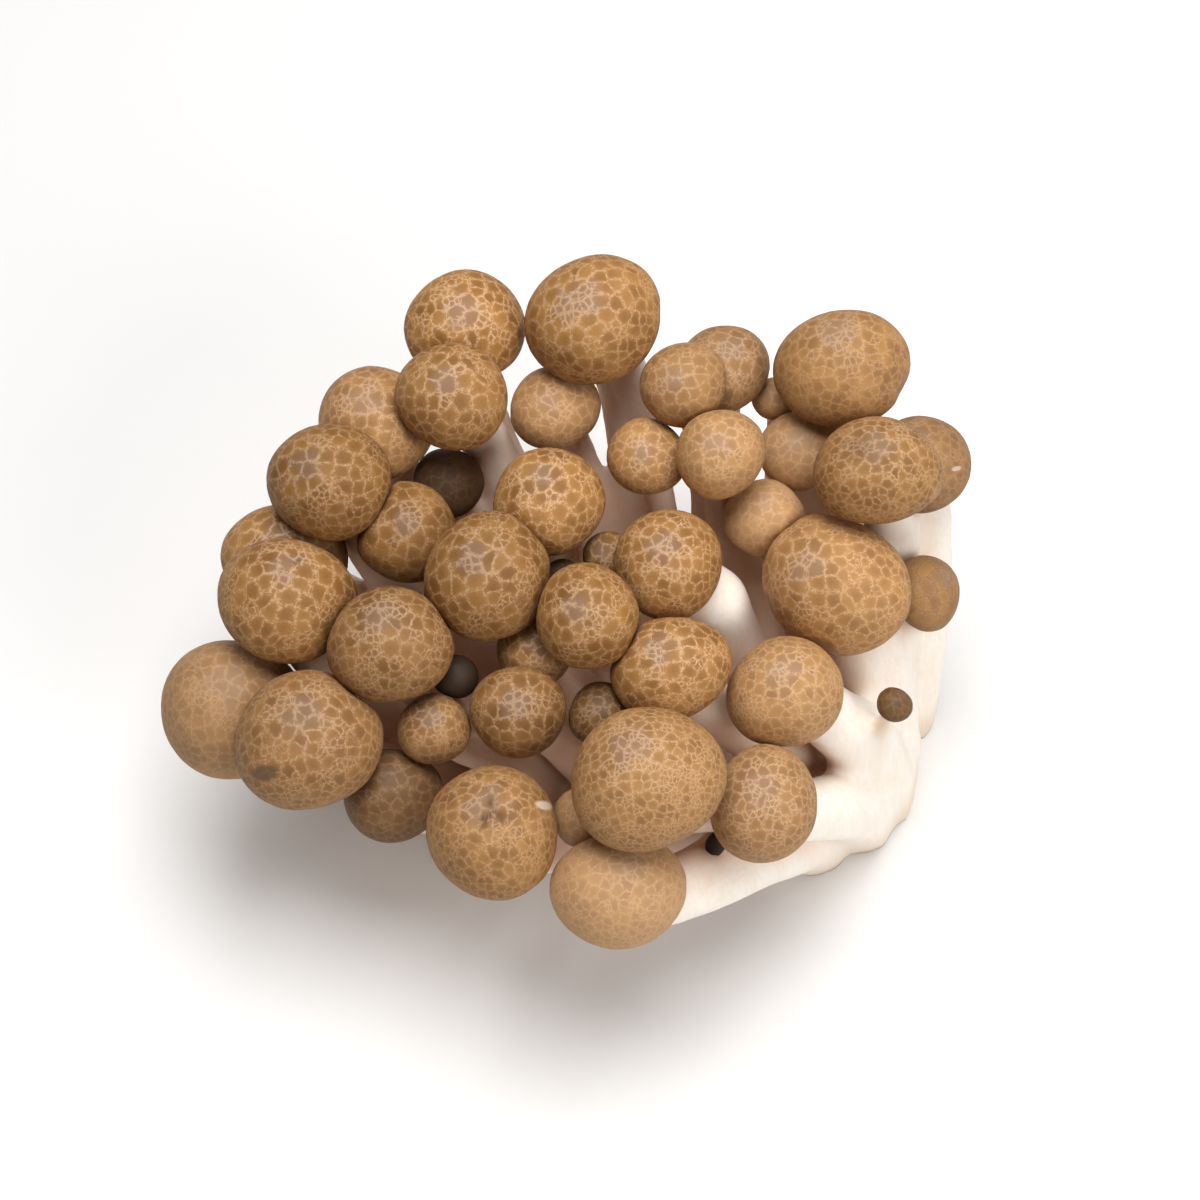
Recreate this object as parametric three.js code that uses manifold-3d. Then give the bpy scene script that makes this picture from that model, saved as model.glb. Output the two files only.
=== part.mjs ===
// A cluster of brown beech mushrooms, grown together and cut off at the foot.
// Millimetres, +Z up. The origin is in the middle of the cut face that the cluster stands on.
// Each cap is a node of its own. The white stems and the foot have grown into one body.
import * as THREE from 'three';
import { mergeVertices } from 'three/addons/utils/BufferGeometryUtils.js';
import Module from 'manifold-3d';

const wasm = await Module();
wasm.setup();

// One row for each mushroom, from the back of the cluster to its front:
// middle of the cap x, y, z, how far it is across, its lean to +X and to +Y in degrees,
// length over breadth, turn of the long side in degrees, stem diameter, foot of the stem x, y,
// lean of the stem's top to +X and to +Y in degrees.
// What a row leaves out at its end is worked out from the rest.
const MUSHROOMS = [
  [-38.5, 56, 81.5, 23.5, 5, -7],
  [-13.5, 52.5, 88, 26.5, -20, -18, 1.08],
  [12.5, 49, 77, 18, 2, -10],
  [35, 44.5, 83, 25.5, -6, -2, 1.13, 0, 13],
  [22.5, 46.5, 70, 9, -4, -15],
  [-21, 43, 72, 17.5, -10, -22, 1.1],
  [-56, 38.5, 73, 23.5, 1, -6],
  [-40.5, 37, 84, 21.5, -3, -18],
  [4, 40.5, 83, 17, -20, -22, 1.05],
  [27.5, 35.5, 68, 16.5, -6, -17],
  [-42, 30.5, 64, 14.5, -10, -8],
  [-3, 30.5, 73, 15.5, -9, -25],
  [51, 31, 70, 20, -14, 4, 0.9, 0, 10, 54, 12],
  [11, 26, 80.5, 17.5, -10, -20],
  [-64, 22, 77, 24, -15, -12, 1.06, 0, 14, -35, 10, 5, -10],
  [40.5, 21, 82, 23, -10, -4, 1.2, 0, 12.5, 45, 4],
  [20, 21.5, 65, 16, -5, -11],
  [-22, 20, 73, 22, -2, -5],
  [-73.5, 15.5, 60.5, 23, 4, -12, 1.15],
  [-49.5, 15.5, 69, 20, 0, -22, 1.06],
  [-10.5, 13, 64.5, 10, -6, -12],
  [-19.5, 9, 63.5, 7, -8, -11],
  [51.5, 9, 57.5, 15.5, 28, 6, 0.9, 0, 10, 50, -2],
  [1, 8, 69.5, 21.5, -6, -12, 1, 0, 14.5, 13, 4, -58, 4],
  [33, 6.5, 64.5, 29, -32, -16, 1.3, -34, 16, 43, -1, -26, -8],
  [-33.5, 3, 73, 25, -13, -12],
  [-71.5, 0.5, 68.5, 26, 8, 1, 1.1, 0, 14, -38, 3, 10, 6],
  [-24.5, -5.5, 59.5, 14.5, 1, -11],
  [-14.5, -6.5, 74, 20, -8, -17],
  [-51.5, -10, 69.5, 23.5, -5, -4],
  [-39.5, -12, 61, 9, 0, -4],
  [-83, -13, 50.5, 28, -2, -11],
  [1, -13.5, 66.5, 22, -18, -5, 1.11, 0, 12, 35, -9],
  [23, -15.5, 61, 22, -9, -14, 1.04, 0, 14, 47, -6, -42, -8],
  [44, -16.5, 58, 7, 8, -9, 1, 0, 5, 48, -10],
  [-12, -18.5, 58, 12.5, -4, -7],
  [-27.5, -20, 61.5, 18, -7, -24, 1.1],
  [-43.5, -21.5, 57.5, 14, -2, -14],
  [-67, -25.5, 60.5, 27.5, -3, -11],
  [-51.5, -30, 47, 19, 1, -5],
  [-3.5, -37.5, 67.5, 28.5, -14, 2, 1, 0, 13, 29, -16],
  [-15, -36.5, 50, 12, 0, -4],
  [18.5, -36.5, 55.5, 21.5, -18, -18, 0.93, 0, 13, 43, -12, -30, -12],
  [-32, -42, 55, 25.5, -2, -3, 0.93],
  [-8.5, -51, 49, 24, 6, -3, 1.15, 0, 14.5, 33, -16, -32, -9],
  [10.4, -36, 37.8, 5, -50, 25, 1, 0, 3, 24, -24],
  [-22, 60, 50, 11, -4, 14],
  [38, 59, 48, 9, 8, 16],
  [-61, 9, 34, 9, -16, 6],
  [-38, -31, 28, 8, -6, -14],
];

// The cut foot that all the stems grow from
const FOOT_LENGTH = 100;
const FOOT_BREADTH = 50;
const FOOT_HEIGHT = 15;
const FOOT_SIDES = 24;
// Its outline's waves: how many round it, and how high as shares of its radius
const FOOT_WAVES = [[3, 0.03], [8, 0.025]];
const FOOT_PROFILE = [[0.9, -0.15], [0.95, 0.1], [0.97, 0.4], [0.85, 0.72], [0.5, 0.93]];
// The stems' feet keep inside this share of it, spread as the caps are round their own middle
const FOOT_SPREAD = 0.95;
const CAPS_MIDDLE = new THREE.Vector2(-14, 3);
const CAPS_REACH = new THREE.Vector2(74, 58);

// Half of a cap's section, as shares of its radius: out from its axis and up from its widest ring
const CROWN = 0.84;
const CAP_PROFILE = [[0.36, 0.77], [0.7, 0.57], [0.93, 0.24], [1, -0.1], [0.87, -0.4]];
const GILLS_HEIGHT = -0.19;
const GILLS_RELIEF = 0.07;
const SOCKET_HEIGHT = -0.12;
const SOCKET_MARGIN = 0.6;
// A cap has an even number of sides, so that the gills alternate: more on a larger cap
const SIDES_OF_LEAST_CAP = 7;
const SIDES_PER_MILLIMETRE = 0.66;
// How far a cap's outline and top are out of round, as shares of its radius
const OUTLINE_WAVE = 0.025;

// Stems, as shares of the cap's breadth and of the stem's own radius
const STEM_SHARE = 0.5;
const STEM_SHARE_SPREAD = 0.06;
const STEM_TOP = 0.86;
const STEM_THICKNESS = [1.05, 1.12, 1.1, 1.04, 0.95, STEM_TOP];
const STEM_SIDES_LEAST = 5;
const STEM_SIDES_PER_MILLIMETRE = 0.36;
const STEM_STEPS = 5;
const STEM_FOOT_LEAN = 0.3;
const STEM_FOOT_HANDLE = 0.42;
const STEM_TOP_HANDLE = 0.32;
const STEM_SINK = 2;
// A cap reaches down from its middle this many times less than it reaches out
const CAP_UNDERSIDE_FLATTER = 2;
// How a stem is bent clear of the caps: how often, how far each time and how much its neighbours follow
const BEND_PASSES = 80;
const BEND_STEP = 0.5;
const BEND_EASE = 0.08;

// Neighbours that touch keep this gap, and the stems a little more where they are pressed into
const GAP = 0.3;
const ROOM = 0.4;
// Where two caps meet, the higher one gives way by this much less than half at this difference in height
const PRESS_PASSES = 6;
const PRESS_LEANING = 0.35;
const PRESS_HEIGHT = 12;

const WHITE = '#efe4d2';
const BROWNS = ['#a9814c', '#b0894f', '#9b7746', '#a8824f'];

// A draw between 0 and 1 that is the same each time
let seed = 7;
function draw() {
  seed = (seed * 16807) % 2147483647;
  return seed / 2147483647;
}

function between(low, high) {
  return low + (high - low) * draw();
}

// A closed surface from one pole through rings of equally many points to the other pole
function skin(firstPole, rings, lastPole) {
  const sides = rings[0].length;
  const last = 1 + rings.length * sides;
  const at = (ring, side) => 1 + ring * sides + (side % sides);
  const index = [];
  for (let side = 0; side < sides; side++) {
    index.push(0, at(0, side), at(0, side + 1));
    for (let ring = 0; ring < rings.length - 1; ring++) {
      const near = at(ring, side);
      const beside = at(ring, side + 1);
      index.push(near, at(ring + 1, side), beside);
      index.push(beside, at(ring + 1, side), at(ring + 1, side + 1));
    }
    index.push(last, at(rings.length - 1, side + 1), at(rings.length - 1, side));
  }
  const geometry = new THREE.BufferGeometry().setFromPoints([firstPole, ...rings.flat(), lastPole]);
  geometry.setIndex(index);
  return geometry;
}

// The upward direction with this lean to +X and to +Y
function leaning(degreesX, degreesY) {
  const [x, y] = [degreesX, degreesY].map((degrees) => Math.tan(THREE.MathUtils.degToRad(degrees)));
  return new THREE.Vector3(x, y, 1).normalize();
}

// What a row says, with the rest worked out
function mushroom(row, place) {
  const [x, y, z, across, leanX, leanY, stretch = 1, turn = 0, ...rest] = row;
  const [stem, footX, footY, topX = leanX, topY = leanY] = rest;
  const axis = leaning(leanX, leanY);
  const side = new THREE.Vector3(1, 0, 0).projectOnPlane(axis).normalize();
  side.applyAxisAngle(axis, THREE.MathUtils.degToRad(turn));
  const basis = new THREE.Matrix4().makeBasis(side, axis.clone().cross(side), axis);
  const share = STEM_SHARE + STEM_SHARE_SPREAD * between(-1, 1);
  const reach = new THREE.Vector2(x, y).sub(CAPS_MIDDLE).divide(CAPS_REACH).clampLength(0, 1);
  reach.multiplyScalar(FOOT_SPREAD / 2);
  const foot = new THREE.Vector3(
    footX ?? reach.x * FOOT_LENGTH,
    footY ?? reach.y * FOOT_BREADTH,
    -STEM_SINK,
  );
  return {
    name: `cap_${String(place + 1).padStart(2, '0')}`,
    centre: new THREE.Vector3(x, y, z),
    axis,
    stemAxis: leaning(topX, topY),
    turned: new THREE.Quaternion().setFromRotationMatrix(basis),
    radius: across / 2,
    stretch: Math.sqrt(stretch),
    stem: (stem ?? across * share) / 2,
    foot,
    waves: [between(0, 2 * Math.PI), between(0, 2 * Math.PI)],
  };
}

// The outside of a cap: the crown, then rings out and down to the lip, in the cluster's frame
function capOutside(one) {
  const sides = 2 * Math.round((SIDES_OF_LEAST_CAP + SIDES_PER_MILLIMETRE * one.radius) / 2);
  const place = (out, up, angle) => {
    const wave = Math.cos(2 * angle + one.waves[0]) + 0.8 * Math.cos(3 * angle + one.waves[1]);
    const round = one.radius * out * (1 + OUTLINE_WAVE * wave);
    return new THREE.Vector3(
      round * one.stretch * Math.cos(angle),
      (round / one.stretch) * Math.sin(angle),
      one.radius * up,
    ).applyQuaternion(one.turned).add(one.centre);
  };
  const angles = Array.from({ length: sides }, (_, side) => (2 * Math.PI * side) / sides);
  return [
    [place(0, CROWN, 0)],
    ...CAP_PROFILE.map(([out, up]) => angles.map((angle) => place(out, up, angle))),
  ];
}

// How far a cap reaches from its middle in one direction
function reachOf(one, direction) {
  const along = one.outside.flat().map((point) => point.clone().sub(one.centre).dot(direction));
  return Math.max(...along);
}

// Caps that would run into each other are pressed flat where they meet, the lower one more
function pressFlat(first, second) {
  const apart = second.centre.clone().sub(first.centre);
  const distance = apart.length();
  const towards = apart.divideScalar(distance);
  const back = towards.clone().negate();
  const reachFirst = reachOf(first, towards);
  const reachSecond = reachOf(second, back);
  const excess = reachFirst + reachSecond + GAP - distance;
  if (excess <= 0) {
    return;
  }
  const height = THREE.MathUtils.clamp((first.centre.z - second.centre.z) / PRESS_HEIGHT, -1, 1);
  const share = 0.5 - PRESS_LEANING * height;
  holdBack(first, towards, reachFirst - excess * share);
  holdBack(second, back, reachSecond - excess * (1 - share));
}

function holdBack(one, direction, limit) {
  for (const point of one.outside.flat()) {
    const over = point.clone().sub(one.centre).dot(direction) - limit;
    if (over > 0) {
      point.addScaledVector(direction, -over);
    }
  }
}

function pressAll(all) {
  for (let pass = 0; pass < PRESS_PASSES; pass++) {
    for (let i = 0; i < all.length; i++) {
      for (let j = i + 1; j < all.length; j++) {
        pressFlat(all[i], all[j]);
      }
    }
  }
}

// Where the stem's flat top meets the cap
function socketOf(one) {
  return one.centre.clone().addScaledVector(one.axis, SOCKET_HEIGHT * one.radius);
}

// The whole cap: its outside, then under the lip the gills as a ring of ridges round the socket
function capGeometry(one) {
  const [[crown], ...rings] = one.outside;
  const lip = rings[rings.length - 1];
  const socket = socketOf(one);
  const socketRadius = Math.min(one.stem * STEM_TOP + SOCKET_MARGIN, 0.7 * one.radius);
  const socketRing = lip.map((point) => {
    const out = point.clone().sub(socket).projectOnPlane(one.axis).setLength(socketRadius);
    return out.add(socket);
  });
  const gills = lip.map((point, side) => {
    const relief = side % 2 ? GILLS_RELIEF : -GILLS_RELIEF;
    const under = point.clone().lerp(socketRing[side], 0.5).sub(one.centre).projectOnPlane(one.axis);
    return under.add(one.centre).addScaledVector(one.axis, (GILLS_HEIGHT + relief) * one.radius);
  });
  return skin(crown, [...rings, gills, socketRing], socket);
}

function capMesh(one) {
  const geometry = capGeometry(one);
  const mesh = new THREE.Mesh(geometry, new THREE.MeshStandardMaterial({
    color: BROWNS[Math.floor(draw() * BROWNS.length)],
    roughness: 0.6,
    metalness: 0,
  }));
  mesh.name = one.name;
  mesh.position.copy(one.centre);
  mesh.quaternion.copy(one.turned);
  mesh.updateMatrix();
  geometry.applyMatrix4(mesh.matrix.clone().invert());
  return mesh;
}

// The middle line of a stem: up from the foot, then into the cap along the lean of its top
function stemLine(one) {
  const top = socketOf(one).addScaledVector(one.axis, -GAP);
  const length = top.distanceTo(one.foot);
  const rise = top.clone().sub(one.foot).multiplyScalar(STEM_FOOT_LEAN / length).setZ(1);
  const curve = new THREE.CubicBezierCurve3(
    one.foot,
    one.foot.clone().addScaledVector(rise, STEM_FOOT_HANDLE * length),
    top.clone().addScaledVector(one.stemAxis, -STEM_TOP_HANDLE * length),
    top,
  );
  return curve.getSpacedPoints(STEM_STEPS);
}

// A stem is bent clear of the other mushrooms' caps, and its neighbouring stretches follow smoothly
function bendClear(one, all) {
  const line = one.line;
  const shifts = line.map(() => new THREE.Vector3());
  for (let pass = 0; pass < BEND_PASSES; pass++) {
    for (let step = 1; step < line.length - 1; step++) {
      const shift = shifts[step];
      for (const other of all) {
        const away = line[step].clone().add(shift).sub(other.centre);
        away.z *= away.z < 0 ? CAP_UNDERSIDE_FLATTER : 1;
        const over = other.radius + one.stem * STEM_THICKNESS[step] + GAP - away.length();
        if (other !== one && over > 0) {
          away.z = 0;
          shift.addScaledVector(away.normalize(), BEND_STEP * over);
        }
      }
      const beside = shifts[step - 1].clone().add(shifts[step + 1]).multiplyScalar(0.5);
      shift.lerp(beside, BEND_EASE);
    }
  }
  line.forEach((point, step) => point.add(shifts[step]));
}

// A round body along the line, with a level first ring in the foot and a flat top under the cap
function stemGeometry(one) {
  const curve = new THREE.CatmullRomCurve3(one.line, false, 'centripetal');
  const points = curve.getPoints(STEM_STEPS);
  const slopes = { 0: new THREE.Vector3(0, 0, 1), [STEM_STEPS]: one.axis };
  const sides = Math.round(STEM_SIDES_LEAST + STEM_SIDES_PER_MILLIMETRE * one.stem);
  const rings = points.map((point, step) => {
    const slope = slopes[step] ?? curve.getTangent(step / STEM_STEPS);
    const across = new THREE.Vector3(1, 0, 0).projectOnPlane(slope).normalize();
    const beside = slope.clone().cross(across);
    const thick = one.stem * STEM_THICKNESS[step];
    return Array.from({ length: sides }, (_, side) => {
      const angle = (-2 * Math.PI * side) / sides;
      return point.clone()
        .addScaledVector(across, thick * Math.cos(angle))
        .addScaledVector(beside, thick * Math.sin(angle));
    });
  });
  return skin(points[0], rings, points[points.length - 1]);
}

// The low mass that the stems share, with a wavy outline
function footGeometry() {
  const starts = FOOT_WAVES.map(() => between(0, 2 * Math.PI));
  const rings = FOOT_PROFILE.map(([out, up]) => Array.from({ length: FOOT_SIDES }, (_, side) => {
    const angle = (-2 * Math.PI * side) / FOOT_SIDES;
    const waves = FOOT_WAVES.map(([count, share], i) => share * Math.cos(count * angle + starts[i]));
    const wave = 1 + waves[0] + waves[1];
    return new THREE.Vector3(
      (FOOT_LENGTH / 2) * out * wave * Math.cos(angle),
      (FOOT_BREADTH / 2) * out * wave * Math.sin(angle),
      FOOT_HEIGHT * up,
    );
  }));
  const bottom = new THREE.Vector3(0, 0, rings[0][0].z);
  return skin(bottom, rings, new THREE.Vector3(0, 0, FOOT_HEIGHT));
}

function solidOf(geometry) {
  return new wasm.Manifold(new wasm.Mesh({
    numProp: 3,
    vertProperties: new Float32Array(geometry.getAttribute('position').array),
    triVerts: new Uint32Array(geometry.getIndex().array),
  }));
}

function geometryOf(solid) {
  const { vertProperties, triVerts } = solid.getMesh();
  const geometry = new THREE.BufferGeometry();
  geometry.setAttribute('position', new THREE.BufferAttribute(vertProperties, 3));
  geometry.setIndex(new THREE.BufferAttribute(triVerts, 1));
  return geometry;
}

// A cap grown by the gap all over, which presses its hollow into the stems it leans on
function roomFor(one) {
  const geometry = capGeometry(one);
  geometry.computeVertexNormals();
  const points = geometry.getAttribute('position');
  const normals = geometry.getAttribute('normal');
  for (let i = 0; i < points.count; i++) {
    const normal = new THREE.Vector3().fromBufferAttribute(normals, i);
    const point = new THREE.Vector3().fromBufferAttribute(points, i).addScaledVector(normal, ROOM);
    points.setXYZ(i, point.x, point.y, point.z);
  }
  return solidOf(geometry);
}

// What lies below the level cut
function belowTheCut() {
  const box = new THREE.BoxGeometry(2 * FOOT_LENGTH, 2 * FOOT_LENGTH, FOOT_HEIGHT);
  box.translate(0, 0, -FOOT_HEIGHT / 2);
  box.deleteAttribute('normal');
  box.deleteAttribute('uv');
  return solidOf(mergeVertices(box));
}

// All the stems and the foot in one body, cut off level at the bottom
function stemsMesh(all) {
  const stems = all.map((one) => solidOf(stemGeometry(one)));
  const grown = wasm.Manifold.union([solidOf(footGeometry()), ...stems]);
  const rooms = wasm.Manifold.union(all.map(roomFor));
  const pieces = grown.subtract(rooms).subtract(belowTheCut()).decompose();
  const body = pieces.reduce((most, piece) => (piece.volume() > most.volume() ? piece : most));
  const mesh = new THREE.Mesh(geometryOf(body), new THREE.MeshStandardMaterial({
    color: WHITE,
    roughness: 0.55,
    metalness: 0,
  }));
  mesh.name = 'stems_and_foot';
  return mesh;
}

const mushrooms = MUSHROOMS.map(mushroom);
for (const one of mushrooms) {
  one.outside = capOutside(one);
}
pressAll(mushrooms);
for (const one of mushrooms) {
  one.line = stemLine(one);
}
for (const one of mushrooms) {
  bendClear(one, mushrooms);
}

const group = new THREE.Group();
group.name = 'beech_mushroom_cluster';
group.add(...mushrooms.map(capMesh));
group.add(stemsMesh(mushrooms));

export default group;
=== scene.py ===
"""The looks of a cluster of brown beech mushrooms: netted caps crowded on white stems.

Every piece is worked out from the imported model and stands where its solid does. Shapes are worked
out in millimetres, +Z up, and turned into metres when a mesh is made.
"""

import math
from collections import namedtuple

import bmesh
import bpy
import numpy as np
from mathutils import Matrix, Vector, noise
from mathutils.bvhtree import BVHTree


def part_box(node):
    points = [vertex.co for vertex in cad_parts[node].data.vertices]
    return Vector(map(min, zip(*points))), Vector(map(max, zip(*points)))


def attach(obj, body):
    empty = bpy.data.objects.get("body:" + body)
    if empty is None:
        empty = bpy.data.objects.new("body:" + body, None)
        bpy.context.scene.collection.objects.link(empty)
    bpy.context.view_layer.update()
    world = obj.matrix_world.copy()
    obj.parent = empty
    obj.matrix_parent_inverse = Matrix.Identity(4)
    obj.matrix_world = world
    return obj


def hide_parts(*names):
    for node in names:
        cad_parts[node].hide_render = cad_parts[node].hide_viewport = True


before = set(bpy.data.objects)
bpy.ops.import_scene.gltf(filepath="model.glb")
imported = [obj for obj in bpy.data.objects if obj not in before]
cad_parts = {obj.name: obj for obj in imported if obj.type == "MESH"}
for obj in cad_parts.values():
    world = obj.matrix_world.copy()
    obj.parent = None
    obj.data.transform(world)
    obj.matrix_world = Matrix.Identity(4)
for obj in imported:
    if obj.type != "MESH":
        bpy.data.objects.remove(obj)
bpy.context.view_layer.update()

MILLIMETRE = 0.001
SEED = 11

# The camera looks at this point of the cluster from the front, this far above the horizon
LOOK_AT = (-12, 15, 45)
ELEVATION = math.radians(58)
DISTANCE = 566.6
LENS = 85
# The floor reaches this many metres each way
FLOOR_REACH = 4.0
# Lights: place and size in millimetres, power in watts
LIGHTS = {
    "overhead": ((0, 80, 900), 600, 9),
    "front_right": ((550, -550, 550), 500, 4),
}
SURROUNDINGS = (1.0, 0.97, 0.93, 1.0)
SURROUNDINGS_STRENGTH = 0.12

# Steps of a fine cap: down its outside, round its rolled margin and inwards over the gills
OUTSIDE_STEPS = 22
MARGIN_STEPS = 4
GILL_STEPS = 7
SAMPLES_PER_GILL = 4
GILL_SPACING = 0.95
FEWEST_GILLS = 16
# Shares of the cap's radius
MARGIN_THICKNESS = 0.05
GILL_DEPTH = 0.075
GILLS_MIDDLE = 0.62
# A gill's section as shares of its depth, and how much of the depth lies below the flesh
GILL_SECTION = (1, 0.3, 0, 0.3)
GILL_SINK = 0.4
# Every other gill ends between these shares of the way in
SHORT_GILLS_END = (0.35, 0.7)
# The gills' height is half a wave on the way in, this many times as quick, so it ends before the
# stem
GILL_WAVE = 1.15
# The gills run this far down the stem and in under its skin
COLLAR_DEPTH = 1.3
COLLAR_INSET = 0.9
# The smooth outside keeps close to its faceted solid
INSET = 0.02
BULGES = 0.16
BULGE_LENGTH = 6
PITS = 0.035
PIT_LENGTH = 1.1

# Corners of a solid this close are one corner
WELD = 0.01

# The stems are made anew from small cubes of this size, and then smoothed
STEM_VOXEL = 1.02
STEM_SMOOTHING = 16
STEM_SWELL = 0.2
STEM_BULGES = 0.28
STEM_BULGE_LENGTH = 9
STEM_BULGE_SHIFT = 3.7
# Below this the foot is cut flat
CUT_HEIGHT = 0.7

# The net on a cap: how far apart its cells are, and how far their edges wander, in millimetres
LARGE_CELL = 3.3
SMALL_CELL = 1.6
WARP = 0.9
UNEVEN = 0.55
RANDOMNESS = 0.95
# Where a cell's soft edge starts and ends, and how strong small cells are
LARGE_EDGE = (0.13, 0.36)
SMALL_EDGE = (0.12, 0.42)
SMALL_STRENGTH = 0.9
# Large cells are made of small ones where their chance, from 0 to 1, is below this
WHOLE_FROM = (0.2, 0.25)
LINE_STRENGTH = 0.88
# Laying out the net divides by this at least, so that it isn't stretched too far under a cap
NET_LIMIT = 0.3
# The net is read this far off at most, so it differs from cap to cap
NET_SHIFT = 500

# How deep the materials' bumps are, and how deep light goes into the stems
BUMP_DEPTH = 0.25
LIGHT_DEPTH = 3

# Waves to a metre of the stems' fibres and blotches, and how much longer fibres are up the stem
FINE_FIBRES = 1400
BROAD_FIBRES = 380
BLOTCHES = 70
FIBRE_STRETCH = 0.07
# Between these heights, in metres, the foot's tan sets in, higher or lower by up to this
FOOT_FADE = (0.02, 0.008)
FOOT_UNEVEN = 0.012

# The patch on the crown: its middle's height and how far that is off, its size and how much that
# differs, as shares of the radius
PATCH_HEIGHT = 0.84
PATCH_OFF = 0.06
PATCH_SIZE = 0.24
PATCH_SIZE_SPREAD = 0.1
# What is added to its size in millimetres, how ragged its edge is, and over which length
PATCH_EXTRA = 0.8
PATCH_RAGGED = 0.45
PATCH_RAGGED_LENGTH = 2.2
BLOTCH_LENGTH = 6
# Noise is read this far off at most, so it differs from cap to cap
NOISE_SHIFT = 100
# How much caps differ by chance
PALENESS_SPREAD = 0.03
GREYNESS_SPREAD = 0.06

# How many ways to the sky are tried from each point, how far off the surface they start, and how
# far they go
SKY_WAYS = 32
SKY_START = 0.8
SKY_REACH = 60
# How far what one point of a cap sees of the sky counts for the points round it
SKY_SPREAD = 2.2

# Colours as the screen shows them
CELL_DARK = (130, 87, 41)
CELL_LIGHT = (168, 121, 65)
# Painted shade on the lower part of a cap, towards its rolled margin
CELL_MARGIN_PAINTED_SHADE = (100, 62, 28)
LINE_DARK = (172, 127, 80)
LINE_LIGHT = (216, 172, 128)
LINE_CROWN = (214, 182, 150)
PATCH_CELL = (140, 110, 88)
PATCH_LINE = (200, 166, 136)
CRACK = (92, 62, 38)
# Painted shade in the hollow of a dent
DENT_PAINTED_SHADE = (104, 76, 52)
MARK_CREAM = (232, 212, 190)
MARK_DARK = (84, 66, 50)
# Painted shade where a cap sees little of the sky among the others
CAP_PAINTED_SHADE = (88, 50, 22)
# Paler and darker whole caps: partly their own tone, partly painted light and painted shade; the
# last colour is painted deep shade, near black
CAP_PALE_AND_PAINTED_LIGHT = (232, 188, 142)
CAP_DARK_AND_PAINTED_SHADE = (62, 38, 20)
CAP_PAINTED_DEEP_SHADE = (26, 17, 16)
CAP_GREY = (138, 110, 84)
GILL_DARK = (222, 196, 160)
GILL_LIGHT = (240, 222, 194)
FLESH_DARK = (247, 234, 220)
FLESH_LIGHT = (252, 243, 233)
FLESH_BLOTCH = (234, 208, 180)
# Painted shade where a stem sees little of the sky among the caps
FLESH_PAINTED_SHADE = (200, 138, 84)
FOOT = (218, 192, 158)
FLOOR = (240, 239, 238)

# How each cap differs from the rest: paleness, which is partly the cap's own tone and partly
# painted light and painted shade, greyness, size and contrast of the net
USUAL_LOOK = (0.0, 0.0, 1.0, 1.0)
LOOKS = {
    "cap_02": (0.06, 0.0, 1.05, 0.85),
    "cap_03": (0.03, 0.3, 0.9, 1.0),
    "cap_04": (0.15, 0.0, 0.85, 0.65),
    "cap_05": (0.5, 0.0, 0.8, 1.0),
    "cap_06": (0.4, 0.0, 0.8, 0.9),
    "cap_07": (0.2, 0.1, 0.9, 0.9),
    "cap_08": (-0.05, 0.0, 1.0, 1.0),
    "cap_09": (0.15, 0.1, 0.85, 0.9),
    "cap_10": (0.6, 0.1, 0.8, 0.8),
    "cap_11": (-1.6, 0.0, 0.8, 1.0),
    "cap_12": (0.25, 0.0, 0.8, 0.9),
    "cap_13": (-0.05, 0.3, 0.8, 0.8),
    "cap_14": (0.4, 0.0, 0.75, 0.8),
    "cap_15": (-0.35, 0.0, 1.0, 1.0),
    "cap_16": (-0.08, 0.15, 0.75, 0.95),
    "cap_17": (0.62, 0.0, 0.7, 0.8),
    "cap_20": (-0.33, 0.0, 1.0, 0.85),
    "cap_21": (-0.55, 0.0, 0.8, 1.2),
    "cap_22": (-2.2, 0.0, 0.7, 0.8),
    "cap_23": (0.1, 0.3, 0.9, 0.3),
    "cap_24": (-0.08, 0.0, 0.85, 1.0),
    "cap_25": (0.2, 0.0, 1.0, 0.9),
    "cap_26": (-0.33, 0.0, 1.1, 1.0),
    "cap_27": (-0.2, 0.0, 1.1, 0.95),
    "cap_28": (0.1, 0.0, 0.8, 1.4),
    "cap_29": (-0.19, 0.0, 1.0, 0.9),
    "cap_30": (-0.34, 0.0, 0.9, 1.1),
    "cap_31": (-2.6, 0.0, 0.7, 0.5),
    "cap_32": (0.35, 0.3, 0.85, 0.7),
    "cap_34": (0.25, 0.0, 0.75, 1.0),
    "cap_35": (-0.9, 0.0, 0.6, 0.8),
    "cap_36": (-0.65, 0.0, 0.7, 1.5),
    "cap_37": (-0.37, 0.0, 1.0, 1.0),
    "cap_38": (-0.3, 0.1, 0.7, 0.9),
    "cap_39": (-0.2, 0.15, 0.95, 1.0),
    "cap_40": (-0.85, 0.1, 0.85, 1.0),
    "cap_41": (0.12, 0.15, 0.7, 1.0),
    "cap_42": (0.5, 0.2, 0.7, 0.9),
    "cap_43": (0.1, 0.2, 0.75, 1.2),
    "cap_44": (0.02, 0.2, 0.8, 0.8),
    "cap_45": (0.65, 0.15, 0.7, 1.0),
    "cap_46": (-3.0, 0.0, 0.6, 0.2),
}

# A mark on a cap: how far right and up of its middle, in radii as the camera sees it, its half
# width and half height in millimetres, its turn in degrees, and its tone, from -1 for dark to 1
# for cream
MARKS = {
    "cap_13": (0.55, -0.1, 1.2, 0.5, 15, 0.9),
    "cap_16": (0.95, -0.35, 1.5, 2.3, -25, 0.12),
    "cap_27": (0.23, 0.59, 0.9, 0.6, 20, -0.5),
    "cap_39": (-0.5, -0.37, 3.0, 1.7, 10, -0.8),
    "cap_43": (0.85, -0.35, 0.9, 1.5, 0, -0.55),
    "cap_44": (0.74, 0.45, 1.9, 0.8, -22, 0.9),
}
# Without a mark, every point is this far from one
NO_MARK = 9.0

# How far fine dark cracks take the net's place
CRACKED = {"cap_23": 0.8, "cap_13": 0.25}

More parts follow.
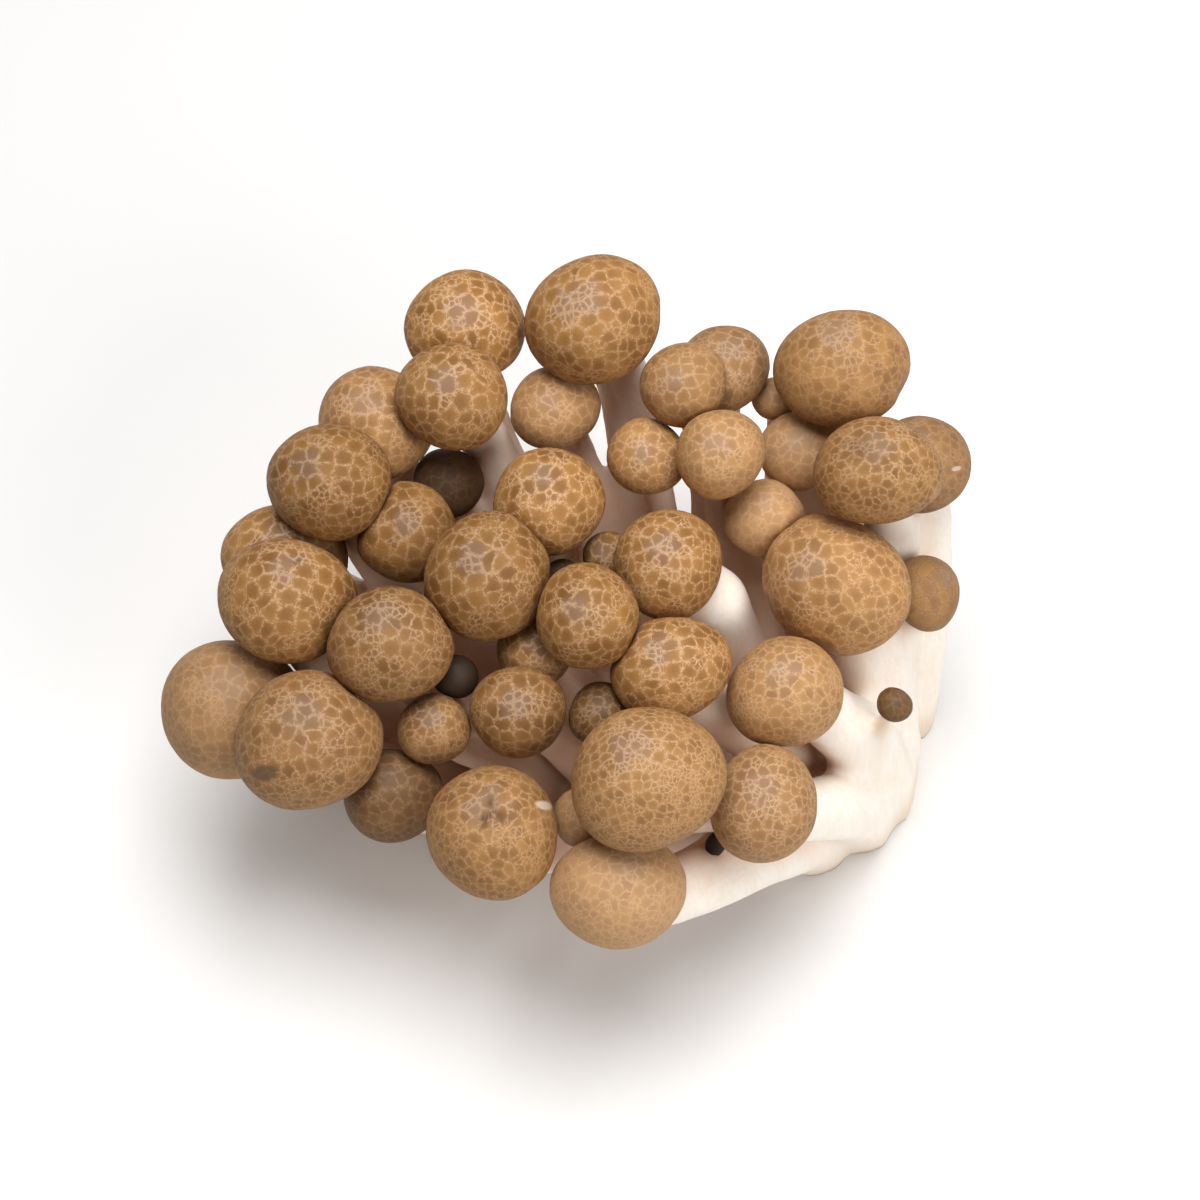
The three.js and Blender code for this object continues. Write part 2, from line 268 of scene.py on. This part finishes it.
# A dent in a cap: its place as for a mark, its radius and depth in millimetres, and how far it is
# creased
DENTS = {
    "cap_16": [(-0.39, 0.39, 3.4, 0.5, 0.1), (0.95, -0.35, 1.9, -0.45, 0.0)],
    "cap_04": [(0.95, -0.3, 2.2, 0.7, 0.2)],
    "cap_44": [(-0.03, 0.35, 2.6, 1.7, 0.6)],
    "cap_28": [(0.2, 0.1, 2.0, 0.25, 0.3)],
}
# The folds that run into a creased dent: how many, their turn in radians and how narrow they are
FOLDS = 3
FOLD_TURN = 0.5
FOLD_NARROWNESS = 5

# How much nearness to the camera counts when a place on a cap is looked for
FACING = 0.15


def unit(vectors):
    return vectors / np.linalg.norm(vectors, axis=-1, keepdims=True)


def ease(low, high, values):
    """0 below low, 1 above high and a smooth step between them."""
    t = np.clip((values - low) / (high - low), 0, 1)
    return t * t * (3 - 2 * t)


def noise_at(points, length, offset):
    """Smooth noise from about -1 to 1 at each point, with waves of that length."""
    moved = points.reshape(-1, 3) / length + offset
    values = [noise.noise(Vector(point)) for point in moved]
    return np.array(values).reshape(points.shape[:-1])


def smooth_through(points, at):
    """The smooth curve through a list of points, read at these steps along the list."""
    count = len(points)
    rows = np.arange(count)
    system = np.zeros((count + 2, count + 2))
    for shift, weight in enumerate((1, 4, 1)):
        system[rows + 1, rows + shift] = weight / 6
    system[0, :3] = (1, -2, 1)
    system[-1, -3:] = (1, -2, 1)
    ends = np.zeros_like(points[:1])
    wanted = np.concatenate([ends, points, ends]).reshape(count + 2, -1)
    knots = np.linalg.solve(system, wanted).reshape(count + 2, *points.shape[1:])
    first = np.clip(np.floor(at).astype(int), 0, count - 2)
    t = (at - first).reshape(-1, *[1] * (points.ndim - 1))
    weights = ((1 - t) ** 3, 3 * t**3 - 6 * t**2 + 4, -3 * t**3 + 3 * t**2 + 3 * t + 1, t**3)
    return sum(weight * knots[first + shift] for shift, weight in enumerate(weights)) / 6


def smooth_round(ring, samples):
    """The smooth closed curve through a ring of points."""
    lap = 6
    padded = np.concatenate([ring[-lap:], ring, ring[:lap]])
    return smooth_through(padded, lap + len(ring) * np.arange(samples) / samples)


def node_mesh(name):
    """A node's points in millimetres and its triangles, with each corner there once."""
    source = bmesh.new()
    source.from_mesh(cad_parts[name].data)
    bmesh.ops.remove_doubles(source, verts=source.verts, dist=WELD * MILLIMETRE)
    source.verts.index_update()
    points = np.array([vert.co for vert in source.verts]) / MILLIMETRE
    faces = [[vert.index for vert in face.verts] for face in source.faces]
    source.free()
    return points, faces


def cap_rings(name):
    """A cap's crown, and its rings from the crown to the stem, side by side."""
    points, faces = node_mesh(name)
    neighbours = [set() for _ in points]
    for face in faces:
        for corner in face:
            neighbours[corner].update(face)
    poles = sorted(range(len(points)), key=lambda i: len(neighbours[i]))[-2:]
    socket, crown = sorted(poles, key=lambda i: points[i][2])
    axis = unit(points[crown] - points[socket])
    across = unit(np.cross([0, 1, 0], axis))
    beside = np.cross(axis, across)

    def angle(corner):
        away = points[corner] - points[crown]
        return math.atan2(away @ beside, away @ across)

    ring = sorted(neighbours[crown] - {crown}, key=angle)
    seen = {crown, *ring}
    rings = [ring]
    while socket not in neighbours[ring[0]]:
        pairs = zip(ring, ring[1:] + ring[:1])
        ring = [(neighbours[one] & neighbours[two] - seen).pop() for one, two in pairs]
        seen.update(ring)
        rings.append(ring)
    return points[crown], points[np.array(rings)]


def seen_axes():
    """Right, up and back towards the camera."""
    return np.array([
        (1, 0, 0),
        (0, math.sin(ELEVATION), math.cos(ELEVATION)),
        (0, -math.cos(ELEVATION), math.sin(ELEVATION)),
    ])


def place_on_cap(points, middle, radius, right, up):
    """The point of a cap that the camera sees this far right and up of its middle, in radii."""
    seen = (points - middle) @ seen_axes().T / radius
    off = np.linalg.norm(seen[:, :2] - (right, up), axis=1) - FACING * seen[:, 2]
    return points[np.argmin(off)]


def dented(name, points, middle, radius):
    """A cap's outside with its dents, and how deep in a dent each point is."""
    shade = np.zeros(len(points))
    for right, up, size, depth, creased in DENTS.get(name, []):
        place = place_on_cap(points, middle, radius, right, up)
        inwards = unit(middle - place)
        seen = (points - place) @ seen_axes().T
        apart = np.linalg.norm(points - place, axis=1) / size
        turn = np.arctan2(seen[:, 1], seen[:, 0])
        folds = np.abs(np.cos(FOLDS / 2 * turn + FOLD_TURN)) ** FOLD_NARROWNESS
        pressed = np.exp(-apart**2) * (1 - creased + 2 * creased * folds)
        points = points + depth * pressed[:, None] * inwards
        shade = np.maximum(shade, pressed * np.sign(depth))
    return points, np.clip(shade, 0, 1)


def new_piece(name, points, faces, replaced):
    """A smooth-shaded piece from points in millimetres, which stands for a node."""
    mesh = bpy.data.meshes.new(name)
    mesh.from_pydata((points * MILLIMETRE).tolist(), [], faces)
    mesh.shade_smooth()
    piece = bpy.data.objects.new(name, mesh)
    bpy.context.scene.collection.objects.link(piece)
    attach(piece, "root")
    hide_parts(replaced)
    return piece


def keep_on_points(piece, name, values):
    """Stores numbers or vectors on a piece's points, where the materials read them.

    One number stands for all the points.
    """
    values = np.array(values, np.float32)
    if values.ndim == 0:
        values = np.full(len(piece.data.vertices), values)
    kind, field = ("FLOAT_VECTOR", "vector") if values.ndim == 2 else ("FLOAT", "value")
    attribute = piece.data.attributes.new(name, kind, "POINT")
    attribute.data.foreach_set(field, values.ravel())


def solid_tree():
    """Every node's faces in one tree, for rays. Millimetres."""
    points = []
    faces = []
    for name in sorted(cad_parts):
        own_points, own_faces = node_mesh(name)
        faces += [[corner + len(points) for corner in face] for face in own_faces]
        points += own_points.tolist()
    return BVHTree.FromPolygons(points, faces)


def openness(solids, points, away):
    """How much of the sky each point sees past the pieces round it, from 0 to 1."""
    step = np.arange(SKY_WAYS)
    height = (step + 0.5) / SKY_WAYS
    turn = step * math.pi * (3 - math.sqrt(5))
    flat = np.sqrt(1 - height**2)
    ways = np.stack([flat * np.cos(turn), flat * np.sin(turn), height], 1)
    starts = (points + SKY_START * away).tolist()
    seen = np.zeros(len(points))
    for way, weight in zip(ways.tolist(), height):
        free = [solids.ray_cast(start, way, SKY_REACH)[0] is None for start in starts]
        seen += weight * np.array(free)
    return seen / height.sum()


def cap_openness(solids, name, points, middle):
    """Openness found at the corners of a cap's solid and spread smoothly to finer points."""
    corners, _ = node_mesh(name)
    values = openness(solids, corners, unit(corners - middle))
    apart = ((points[:, None] - corners[None]) ** 2).sum(-1)
    weights = np.exp(-apart / SKY_SPREAD**2) + 1e-9
    return weights @ values / weights.sum(1)


def cap_surface(crown, rings, draw):
    """A cap's crown, its fine rows down to under its gills, its last point, and its measures."""
    *outside, gills, socket_ring = rings
    middle = outside[3].mean(0)
    radius = np.linalg.norm(outside[3] - middle, axis=1).mean()
    axis = unit(crown - middle)
    count = max(FEWEST_GILLS, round(2 * math.pi * GILLS_MIDDLE * radius / GILL_SPACING))
    samples = SAMPLES_PER_GILL * count

    # Down the outside, on a curve that goes on over the crown to the far side
    round_rings = [smooth_round(ring, samples) for ring in outside]
    beyond = 3 * round_rings[-1] - 3 * round_rings[-2] + round_rings[-3]
    half = [*round_rings, beyond]
    far_half = [np.roll(ring, samples // 2, axis=0) for ring in reversed(half)]
    top = np.broadcast_to(crown, (samples, 3))
    meridians = np.array([*far_half, top, *half])
    steps = len(half) + np.linspace(0, len(outside), OUTSIDE_STEPS + 1)
    outer = smooth_through(meridians, steps)
    away = unit(outer - middle)
    offset = draw.uniform(0, NOISE_SHIFT, 3)
    relief = BULGES * noise_at(outer, BULGE_LENGTH, offset)
    relief += PITS * noise_at(outer, PIT_LENGTH, offset)
    outer = outer + away * (relief - INSET - BULGES / 4)[..., None]

    # Round the rolled margin
    lip = outer[-1]
    down = unit(lip - outer[-2])
    around = np.roll(lip, -1, axis=0) - np.roll(lip, 1, axis=0)
    out = unit(np.cross(around, -down))
    out *= np.sign((out * away[-1]).sum(-1, keepdims=True))
    thickness = MARGIN_THICKNESS * radius
    turns = np.linspace(0, math.pi, MARGIN_STEPS + 1)[1:]
    moves = [(math.cos(turn) - 1) * out + math.sin(turn) * down for turn in turns]
    margin = [lip + thickness * move for move in moves]

    # Inwards over the gills, long and short ones by turns
    inner = smooth_round(socket_ring, samples)
    arch = smooth_round((gills + np.roll(gills, 1, axis=0)) / 2, samples)
    place = np.arange(samples) % SAMPLES_PER_GILL
    blade = np.array(GILL_SECTION)[place]
    short = (np.arange(samples) // SAMPLES_PER_GILL) % 2
    under = []
    for step in range(1, GILL_STEPS + 1):
        t = step / GILL_STEPS
        base = (1 - t) ** 2 * margin[-1] + 2 * t * (1 - t) * arch + t**2 * inner
        wave = GILL_WAVE * t
        fade = math.sin(math.pi * wave) ** 0.5 if wave < 1 else 0
        reach = 1 - short * ease(*SHORT_GILLS_END, t)
        depth = GILL_DEPTH * radius * fade * (blade * reach - GILL_SINK)
        under.append(base - depth[:, None] * axis)
    centre = inner.mean(0)
    collar = inner - COLLAR_INSET * unit(inner - centre) - COLLAR_DEPTH * axis
    rows = np.array([*outer[1:], *margin, *under, collar])
    return outer[0, :1], rows, collar.mean(0, keepdims=True), middle, axis, radius


def mark_coordinates(name, points, middle, radius):
    """Where each point is from the cap's mark, which ends at 1, and the mark's tone."""
    if name not in MARKS:
        return np.full((len(points), 3), NO_MARK), 0.0
    right, up, width, height, turn, tone = MARKS[name]
    place = place_on_cap(points, middle, radius, right, up)
    across, along, depth = ((points - place) @ seen_axes().T).T
    cosine, sine = math.cos(math.radians(turn)), math.sin(math.radians(turn))
    turned_across = (across * cosine + along * sine) / width
    turned_along = (along * cosine - across * sine) / height
    return np.stack([turned_across, turned_along, depth / radius], 1), tone


def cap_faces(count, samples):
    """Faces between the crown's point, this many rows and the last point."""
    side = np.arange(samples)
    beside = (side + 1) % samples
    end = 1 + (count - 1) * samples
    crown = np.zeros(samples, int)
    last = crown + count * samples + 1
    faces = np.stack([crown, 1 + side, 1 + beside], 1).tolist()
    for near in range(1, end, samples):
        far = near + samples
        faces += np.stack([near + side, far + side, far + beside, near + beside], 1).tolist()
    return faces + np.stack([end + side, last, end + beside], 1).tolist()


def cap(name, solids):
    """One cap, rebuilt fine through the rings of its solid."""
    number = int(name.split("_")[1])
    draw = np.random.default_rng([SEED, number])
    crown, rings = cap_rings(name)
    top, rows, bottom, middle, axis, radius = cap_surface(crown, rings, draw)
    count, samples, _ = rows.shape
    points = np.concatenate([top, rows.reshape(-1, 3), bottom])
    outside = 1 + OUTSIDE_STEPS * samples
    dents = np.zeros(len(points))
    points[:outside], dents[:outside] = dented(name, points[:outside], middle, radius)
    low, high = (np.array(corner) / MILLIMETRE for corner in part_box(name))
    points = np.clip(points, low, high)
    piece = new_piece(f"{name}_skin", points, cap_faces(count, samples), name)

    across = unit(np.cross([0, 1, 0], axis))
    local = (points - middle) @ np.stack([across, np.cross(axis, across), axis], 1)
    paleness_and_painted_light, greyness, cell_size, contrast = LOOKS.get(name, USUAL_LOOK)
    # Laid out flat from the crown without shear, so the net is finer towards the margin
    towards = unit(local)
    flat = 2 * radius * towards[:, :2] / np.maximum(1 + towards[:, 2:], NET_LIMIT)
    flat = flat / cell_size + draw.uniform(-NET_SHIFT, NET_SHIFT, 2)
    keep_on_points(piece, "net", np.append(flat, np.zeros((len(points), 1)), 1))
    patch_middle = np.append(draw.normal(0, PATCH_OFF, 2), PATCH_HEIGHT) * radius
    patch = (PATCH_SIZE + PATCH_SIZE_SPREAD * draw.random()) * radius + PATCH_EXTRA
    ragged = PATCH_RAGGED * noise_at(local, PATCH_RAGGED_LENGTH, draw.uniform(0, NOISE_SHIFT, 3))
    off = np.linalg.norm(local - patch_middle, axis=1)
    keep_on_points(piece, "crown", 1 - off / patch + ragged)
    gills_start = outside + (MARGIN_STEPS - 1) * samples
    keep_on_points(piece, "gills", np.arange(len(points)) >= gills_start)
    keep_on_points(piece, "down", np.clip(0.5 - local[:, 2] / radius, 0, 1))
    blotch = noise_at(local, BLOTCH_LENGTH, draw.uniform(0, NOISE_SHIFT, 3))
    keep_on_points(piece, "blotch", 0.5 + 0.5 * blotch)
    # Paleness: partly the cap's own tone, partly painted light and painted shade
    keep_on_points(piece, "paleness_and_painted_light", paleness_and_painted_light + draw.normal(0, PALENESS_SPREAD))
    keep_on_points(piece, "greyness", greyness + abs(draw.normal(0, GREYNESS_SPREAD)))
    keep_on_points(piece, "contrast", contrast)
    keep_on_points(piece, "dents", dents)
    keep_on_points(piece, "cracks", CRACKED.get(name, 0.0))
    mark, tone = mark_coordinates(name, points, middle, radius)
    keep_on_points(piece, "mark", mark)
    keep_on_points(piece, "tone", tone)
    keep_on_points(piece, "open", cap_openness(solids, name, points, middle))
    return piece


def stems(solids):
    """The stems and their foot: cubes for even faces, then smoothing, then soft bulges."""
    name = "stems_and_foot"
    rough = bpy.data.objects.new("rough_stems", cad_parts[name].data.copy())
    bpy.context.scene.collection.objects.link(rough)
    weld = rough.modifiers.new("weld", "WELD")
    weld.merge_threshold = WELD * MILLIMETRE
    remesh = rough.modifiers.new("remesh", "REMESH")
    remesh.mode = "VOXEL"
    remesh.voxel_size = STEM_VOXEL * MILLIMETRE
    graph = bpy.context.evaluated_depsgraph_get()
    made = rough.evaluated_get(graph).to_mesh()
    points = np.zeros(3 * len(made.vertices))
    made.vertices.foreach_get("co", points)
    points = points.reshape(-1, 3) / MILLIMETRE
    edges = np.zeros(2 * len(made.edges), int)
    made.edges.foreach_get("vertices", edges)
    faces = [list(polygon.vertices) for polygon in made.polygons]
    bpy.data.objects.remove(rough)

    one, two = edges.reshape(-1, 2).T
    ends = np.concatenate([one, two])
    others = np.concatenate([two, one])
    degree = np.bincount(ends, minlength=len(points))[:, None]
    low, high = (np.array(corner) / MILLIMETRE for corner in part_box(name))
    cut = points[:, 2] < CUT_HEIGHT

    def smoothed(values):
        for _ in range(STEM_SMOOTHING):
            sums = [np.bincount(ends, column[others], len(points)) for column in values.T]
            values = (values + np.stack(sums, 1) / degree) / 2
        return values

    points = smoothed(points)
    corners = np.array([face[:3] for face in faces])
    first, second, third = (points[corners[:, corner]] for corner in range(3))
    flat = np.cross(second - first, third - first)
    normals = np.zeros_like(points)
    for corner in range(3):
        for i in range(3):
            normals[:, i] += np.bincount(corners[:, corner], flat[:, i], len(points))
    normals = normals / np.maximum(np.linalg.norm(normals, axis=1, keepdims=True), 1e-9)
    light = smoothed(openness(solids, points, normals)[:, None])[:, 0]
    bulges = noise_at(points, STEM_BULGE_LENGTH, np.full(3, STEM_BULGE_SHIFT))
    swell = STEM_SWELL + STEM_BULGES * bulges
    points += normals * swell[:, None]
    points[cut, 2] = 0
    points = np.clip(points, low, high)
    piece = new_piece(f"{name}_skin", points, faces, name)
    keep_on_points(piece, "open", light)
    return piece


Cells = namedtuple("Cells", "cell edge off chance")


class Nodes:
    """A material's node tree, with short calls to fill it."""

    def __init__(self, name):
        self.material = bpy.data.materials.new(name)
        self.material.use_nodes = True
        self.tree = self.material.node_tree
        self.shader = self.tree.nodes["Principled BSDF"]

    def add(self, kind, inputs=None, **settings):
        """A new node. An input is a value, or the output that feeds it."""
        made = self.tree.nodes.new(f"ShaderNode{kind}")
        for setting, value in settings.items():
            setattr(made, setting, value)
        for socket, value in (inputs or {}).items():
            if isinstance(value, bpy.types.NodeSocket):
                self.tree.links.new(value, made.inputs[socket])
            else:
                made.inputs[socket].default_value = value
        return made

    def shade(self, **inputs):
        """Feeds or sets the shader's own sockets, with _ for a space in their names."""
        for socket, value in inputs.items():
            target = self.shader.inputs[socket.replace("_", " ")]
            if isinstance(value, bpy.types.NodeSocket):
                self.tree.links.new(value, target)
            else:
                target.default_value = value

    def kept(self, name, output="Fac"):
        return self.add("Attribute", attribute_name=name).outputs[output]

    def math(self, operation, one, two):
        return self.add("Math", {0: one, 1: two}, operation=operation).outputs[0]

    def sum(self, one, two):
        return self.math("ADD", one, two)

    def times(self, one, two):
        return self.math("MULTIPLY", one, two)

    def step(self, value, low, high, new_low=0.0, new_high=1.0):
        """A smooth step from new_low to new_high while the value goes from low to high."""
        inputs = {"Value": value, "From Min": low, "From Max": high}
        inputs |= {"To Min": new_low, "To Max": new_high}
        return self.add("MapRange", inputs, interpolation_type="SMOOTHSTEP").outputs["Result"]

    def mix(self, share, one, two):
        """Two colours mixed, by the share of the second."""
        inputs = {"Factor": share, 6: one, 7: two}
        return self.add("Mix", inputs, data_type="RGBA", clamp_factor=True).outputs[2]

    def cells(self, vector, length, uneven, low, high):
        """Packed cells of about this length with round corners and soft edges from low to high."""
        inputs = {"Vector": vector, "Scale": 1 / length, "Randomness": RANDOMNESS}
        edge = self.add("TexVoronoi", inputs, feature="DISTANCE_TO_EDGE", voronoi_dimensions="2D")
        edge = edge.outputs["Distance"]
        middle = self.add("TexVoronoi", inputs, feature="F1", voronoi_dimensions="2D").outputs
        off = middle["Distance"]
        share = self.math("DIVIDE", edge, self.sum(edge, off))
        return Cells(self.step(self.sum(share, uneven), low, high), edge, off, middle["Color"])

    def noise(self, vector, scale, detail=2.0, roughness=0.5, output="Fac", dimensions="3D"):
        inputs = {"Vector": vector, "Scale": scale, "Detail": detail, "Roughness": roughness}
        return self.add("TexNoise", inputs, noise_dimensions=dimensions).outputs[output]


def colour(on_screen):
    """The shader's colour for red, green and blue as the screen shows them, from 11 to 255."""
    linear = [((channel / 255 + 0.055) / 1.055) ** 2.4 for channel in on_screen]
    return (*linear, 1.0)


def cap_material():
    """Brown round cells in a pale net, a grey patch on the crown and cream gills, with painted
    light and shade.
    """
    n = Nodes("netted_cap")
    net = n.kept("net", "Vector")
    paleness_and_painted_light = n.kept("paleness_and_painted_light")
    drift = n.noise(net, 0.4, output="Color", dimensions="2D")
    drift = n.add("VectorMath", {0: drift, 1: (0.5, 0.5, 0.5)}, operation="SUBTRACT").outputs[0]
    drift = n.add("VectorMath", {0: drift, "Scale": WARP}, operation="SCALE").outputs[0]
    warped = n.add("VectorMath", {0: net, 1: drift}, operation="ADD").outputs[0]
    speckle = n.noise(net, 2.2, 3, 0.65, dimensions="2D")
    uneven = n.times(n.math("SUBTRACT", speckle, 0.5), UNEVEN)

    # Large cells are round, and small ones fill the gaps and stand for some of the large
    large = n.cells(warped, LARGE_CELL, uneven, *LARGE_EDGE)
    small = n.cells(warped, SMALL_CELL, uneven, *SMALL_EDGE)
    chance = n.add("SeparateColor", {0: large.chance}).outputs
    whole = n.step(chance["Red"], *WHOLE_FROM)
    inside = n.step(large.edge, 0.0, 0.05)
    small_cell = n.times(n.times(small.cell, inside), SMALL_STRENGTH)
    cell = n.math("MAXIMUM", n.times(large.cell, whole), small_cell)
    line = n.times(n.math("SUBTRACT", 1.0, cell), n.step(speckle, 0.3, 0.62, 0.5, 1.0))
    down = n.kept("down")
    crown = n.kept("crown")
    line = n.times(line, n.step(down, 0.2, 0.95, 1.0, 0.45))
    line = n.times(n.times(line, LINE_STRENGTH), n.kept("contrast"))

    # Cells differ a little, and the lower part of a cap towards its margin is painted darker as
    # shade
    lightness = n.sum(n.times(chance["Green"], 0.35), n.times(n.kept("blotch"), 0.5))
    lightness = n.sum(lightness, n.times(n.sum(large.off, speckle), 0.35))
    cells = n.mix(n.step(lightness, 0.35, 1.05), colour(CELL_DARK), colour(CELL_LIGHT))
    cells = n.mix(n.step(down, 0.4, 0.85, 0.0, 0.7), cells, colour(CELL_MARGIN_PAINTED_SHADE))
    lines = n.mix(n.step(speckle, 0.35, 0.65), colour(LINE_DARK), colour(LINE_LIGHT))
    lines = n.mix(n.step(crown, -1.2, 0.2, 0.0, 0.5), lines, colour(LINE_CROWN))
    skin = n.mix(line, cells, lines)

    # The crown's patch
    patch_colour = n.mix(line, colour(PATCH_CELL), colour(PATCH_LINE))
    skin = n.mix(n.step(crown, 0.0, 0.5, 0.0, 0.7), skin, patch_colour)

    # Cracks, painted shade in the hollows of dents, and marks
    crack = n.step(large.edge, 0.0, 0.05, 1.0, 0.0)
    crack = n.times(crack, n.step(down, 0.3, 0.65, 1.0, 0.0))
    skin = n.mix(n.times(crack, n.kept("cracks")), skin, colour(CRACK))
    skin = n.mix(n.times(n.kept("dents"), 0.4), skin, colour(DENT_PAINTED_SHADE))
    apart = n.add("VectorMath", {0: n.kept("mark", "Vector")}, operation="LENGTH").outputs["Value"]
    tone = n.times(n.step(n.sum(apart, uneven), 0.6, 1.1, 1.0, 0.0), n.kept("tone"))
    skin = n.mix(n.math("MAXIMUM", tone, 0.0), skin, colour(MARK_CREAM))
    skin = n.mix(n.times(tone, -1.0), skin, colour(MARK_DARK))

    # Painted shade: where a cap sees little of the sky among the others, it is painted a darker
    # brown
    skin = n.mix(n.step(n.kept("open"), 0.0, 0.4, 0.6, 0.0), skin, colour(CAP_PAINTED_SHADE))

    # Whole caps are paler, darker or greyer than others; paleness and darkness are partly the caps'
    # own tone and partly painted light and painted shade, down to near black for caps deep in shade
    skin = n.mix(n.times(paleness_and_painted_light, 0.6), skin, colour(CAP_PALE_AND_PAINTED_LIGHT))
    skin = n.mix(n.math("MINIMUM", n.times(paleness_and_painted_light, -0.75), 0.8), skin, colour(CAP_DARK_AND_PAINTED_SHADE))
    skin = n.mix(n.step(paleness_and_painted_light, -1.0, -3.0), skin, colour(CAP_PAINTED_DEEP_SHADE))
    skin = n.mix(n.kept("greyness"), skin, colour(CAP_GREY))
    gill_colour = n.mix(n.kept("blotch"), colour(GILL_DARK), colour(GILL_LIGHT))
    surface = n.mix(n.kept("gills"), skin, gill_colour)

    pores = n.noise(net, 1.5, 3, 0.65, dimensions="2D")
    bump = n.add("Bump", {"Height": pores, "Strength": 0.3, "Distance": BUMP_DEPTH * MILLIMETRE})
    roughness = n.step(line, 0.0, 1.0, 0.62, 0.75)
    n.shade(Base_Color=surface, Normal=bump.outputs[0], Roughness=roughness)
    n.shade(Specular_IOR_Level=0.25)
    return n.material


def stem_material():
    """Smooth cream flesh with faint fibres up the stem, a tan foot, and painted shade deep among
    the caps.
    """
    n = Nodes("white_stem")
    place = n.add("TexCoord").outputs["Object"]
    fibres = n.add("Mapping", {"Vector": place, "Scale": (1.0, 1.0, FIBRE_STRETCH)}).outputs[0]
    fine = n.noise(fibres, FINE_FIBRES, 3, 0.6)
    broad = n.noise(fibres, BROAD_FIBRES)
    blotches = n.noise(place, BLOTCHES, 3)
    streaks = n.sum(n.times(fine, 0.6), n.times(broad, 0.4))
    flesh = n.mix(n.step(streaks, 0.35, 0.65), colour(FLESH_DARK), colour(FLESH_LIGHT))
    flesh = n.mix(n.step(blotches, 0.5, 0.75, 0.0, 0.25), flesh, colour(FLESH_BLOTCH))
    # Painted shade: where a stem sees little of the sky among the caps, its flesh is painted a warm
    # brown
    flesh = n.mix(n.step(n.kept("open"), 0.0, 0.45, 0.6, 0.0), flesh, colour(FLESH_PAINTED_SHADE))
    height = n.add("SeparateXYZ", {0: place}).outputs["Z"]
    foot = n.step(n.sum(height, n.times(blotches, FOOT_UNEVEN)), *FOOT_FADE)
    flesh = n.mix(n.times(foot, 0.5), flesh, colour(FOOT))
    bump = n.add("Bump", {"Height": streaks, "Strength": 0.1, "Distance": BUMP_DEPTH * MILLIMETRE})
    roughness = n.step(streaks, 0.3, 0.7, 0.5, 0.6)
    n.shade(Base_Color=flesh, Normal=bump.outputs[0], Roughness=roughness)
    n.shade(Specular_IOR_Level=0.3, Subsurface_Weight=0.35, Subsurface_Radius=(1.0, 0.5, 0.28))
    n.shade(Subsurface_Scale=LIGHT_DEPTH * MILLIMETRE)
    return n.material


def floor():
    """A plain pale floor at the height the cluster stands on."""
    mesh = bpy.data.meshes.new("floor")
    ways = (-1, -1), (1, -1), (1, 1), (-1, 1)
    corners = [(x * FLOOR_REACH, y * FLOOR_REACH, 0) for x, y in ways]
    mesh.from_pydata(corners, [], [(0, 1, 2, 3)])
    plain = bpy.data.objects.new("floor", mesh)
    bpy.context.scene.collection.objects.link(plain)
    n = Nodes("pale_floor")
    n.shade(Base_Color=colour(FLOOR), Roughness=0.9, Specular_IOR_Level=0.1)
    mesh.materials.append(n.material)


def area_light(name, position, size, power):
    """A soft square white light that faces the cluster. Millimetres and watts."""
    data = bpy.data.lights.new(name, "AREA")
    data.size = size * MILLIMETRE
    data.energy = power
    light = bpy.data.objects.new(name, data)
    bpy.context.scene.collection.objects.link(light)
    light.location = Vector(position) * MILLIMETRE
    aim = Vector(LOOK_AT) * MILLIMETRE - light.location
    light.rotation_euler = aim.to_track_quat("-Z", "Y").to_euler()


def studio():
    """Soft light from above and in front, and pale surroundings."""
    world = bpy.data.worlds.new("surroundings")
    world.use_nodes = True
    background = world.node_tree.nodes["Background"]
    background.inputs["Color"].default_value = SURROUNDINGS
    background.inputs["Strength"].default_value = SURROUNDINGS_STRENGTH
    bpy.context.scene.world = world
    for name, (position, size, power) in LIGHTS.items():
        area_light(name, position, size, power)
    bpy.context.scene.view_settings.view_transform = "Standard"


def camera():
    data = bpy.data.cameras.new("camera")
    data.lens = LENS
    data.clip_start = 0.01
    eye = bpy.data.objects.new("camera", data)
    bpy.context.scene.collection.objects.link(eye)
    back = Vector((0, -math.cos(ELEVATION), math.sin(ELEVATION)))
    eye.location = (Vector(LOOK_AT) + DISTANCE * back) * MILLIMETRE
    eye.rotation_euler = (-back).to_track_quat("-Z", "Y").to_euler()
    bpy.context.scene.camera = eye


solids = solid_tree()
netted = cap_material()
for node_name in sorted(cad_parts):
    if node_name.startswith("cap_"):
        cap(node_name, solids).data.materials.append(netted)
stems(solids).data.materials.append(stem_material())
floor()
studio()
camera()

bpy.context.view_layer.update()
